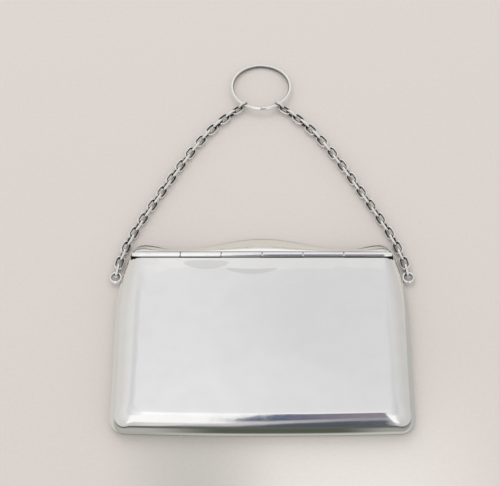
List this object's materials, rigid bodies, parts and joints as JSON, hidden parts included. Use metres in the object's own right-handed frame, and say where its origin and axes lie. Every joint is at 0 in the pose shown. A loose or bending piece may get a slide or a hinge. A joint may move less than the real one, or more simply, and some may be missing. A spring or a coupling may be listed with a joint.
{
  "type": "card case",
  "caption": "Slim hinged metal card case with rolled edges, a serpentine crest, side lugs, a cable chain handle and a finger ring.",
  "frame": {"origin": "middle of the front face, which the case lies on", "axes": "+Z out through the back, +Y from the bottom edge towards the hinge and the chain, +X to the right seen from the back"},
  "size_m": [0.1018, 0.1478, 0.0089],
  "materials": {
    "silver": "polished silver, softly worn",
    "chain": "silver wire, dark in the recesses",
    "pin": "plain drawn wire",
    "lining": "thin polished leather"
  },
  "bodies": {
    "case": {"front_shell": "silver", "front_knuckles": "silver", "hinge_pin": "pin", "bezel": "silver", "front_lining": "lining", "card_pocket": "lining", "left_lug": "silver", "right_lug": "silver"},
    "back": {"back_shell": "silver", "back_knuckles": "silver", "back_lining": "lining"},
    "chain_01": {"left_links_01": "chain", "right_links_01": "chain"},
    "chain_02": {"left_links_02": "chain", "right_links_02": "chain"},
    "chain_03": {"left_links_03": "chain", "right_links_03": "chain"},
    "chain_04": {"left_links_04": "chain", "right_links_04": "chain"},
    "chain_05": {"left_links_05": "chain", "right_links_05": "chain"},
    "chain_06": {"left_links_06": "chain", "right_links_06": "chain"},
    "chain_07": {"left_links_07": "chain", "right_links_07": "chain"},
    "chain_08": {"left_links_08": "chain", "right_links_08": "chain"},
    "chain_09": {"left_links_09": "chain", "right_links_09": "chain"},
    "chain_10": {"left_links_10": "chain", "right_links_10": "chain"},
    "chain_11": {"left_links_11": "chain", "right_links_11": "chain"},
    "chain_12": {"left_links_12": "chain", "right_links_12": "chain"},
    "chain_13": {"left_links_13": "chain", "right_links_13": "chain"},
    "end_rings": {"left_end_ring": "chain", "right_end_ring": "chain"},
    "finger_ring": {"finger_ring": "silver"}
  },
  "joints": [
    {"name": "back_hinge", "type": "hinge", "parent": "case", "child": "back", "pos_m": [0, 0.02605, 0.0079], "axis": [-1, 0, 0], "range_deg": [0, 160]},
    {"name": "chain_swing", "type": "hinge", "parent": "case", "child": "chain_01", "pos_m": [0, 0.02274, 0.0015], "axis": [1, 0, 0], "range_deg": [0, 115]},
    {"name": "chain_fold_01", "type": "hinge", "parent": "chain_01", "child": "chain_02", "pos_m": [0, 0.02883, 0.0015], "axis": [1, 0, 0], "range_deg": [-30, 30]},
    {"name": "chain_fold_02", "type": "hinge", "parent": "chain_02", "child": "chain_03", "pos_m": [0, 0.03477, 0.0015], "axis": [-1, 0, 0], "range_deg": [-30, 30]},
    {"name": "chain_fold_03", "type": "hinge", "parent": "chain_03", "child": "chain_04", "pos_m": [0, 0.04051, 0.0015], "axis": [1, 0, 0], "range_deg": [-30, 30]},
    {"name": "chain_fold_04", "type": "hinge", "parent": "chain_04", "child": "chain_05", "pos_m": [0, 0.0461, 0.0015], "axis": [-1, 0, 0], "range_deg": [-30, 30]},
    {"name": "chain_fold_05", "type": "hinge", "parent": "chain_05", "child": "chain_06", "pos_m": [0, 0.05162, 0.0015], "axis": [1, 0, 0], "range_deg": [-30, 30]},
    {"name": "chain_fold_06", "type": "hinge", "parent": "chain_06", "child": "chain_07", "pos_m": [0, 0.05712, 0.0015], "axis": [-1, 0, 0], "range_deg": [-30, 30]},
    {"name": "chain_fold_07", "type": "hinge", "parent": "chain_07", "child": "chain_08", "pos_m": [0, 0.06261, 0.0015], "axis": [1, 0, 0], "range_deg": [-30, 30]},
    {"name": "chain_fold_08", "type": "hinge", "parent": "chain_08", "child": "chain_09", "pos_m": [0, 0.06806, 0.0015], "axis": [-1, 0, 0], "range_deg": [-30, 30]},
    {"name": "chain_fold_09", "type": "hinge", "parent": "chain_09", "child": "chain_10", "pos_m": [0, 0.0734, 0.0015], "axis": [1, 0, 0], "range_deg": [-30, 30]},
    {"name": "chain_fold_10", "type": "hinge", "parent": "chain_10", "child": "chain_11", "pos_m": [0, 0.07854, 0.0015], "axis": [-1, 0, 0], "range_deg": [-30, 30]},
    {"name": "chain_fold_11", "type": "hinge", "parent": "chain_11", "child": "chain_12", "pos_m": [0, 0.08339, 0.0015], "axis": [1, 0, 0], "range_deg": [-25, 25]},
    {"name": "chain_fold_12", "type": "hinge", "parent": "chain_12", "child": "chain_13", "pos_m": [0, 0.08783, 0.0015], "axis": [-1, 0, 0], "range_deg": [-25, 25]},
    {"name": "end_ring_fold", "type": "hinge", "parent": "chain_13", "child": "end_rings", "pos_m": [0, 0.09171, 0.0015], "axis": [1, 0, 0], "range_deg": [-20, 25]},
    {"name": "ring_flip", "type": "hinge", "parent": "end_rings", "child": "finger_ring", "pos_m": [0, 0.09217, 0.00243], "axis": [1, 0, 0], "range_deg": [0, 70]}
  ]
}
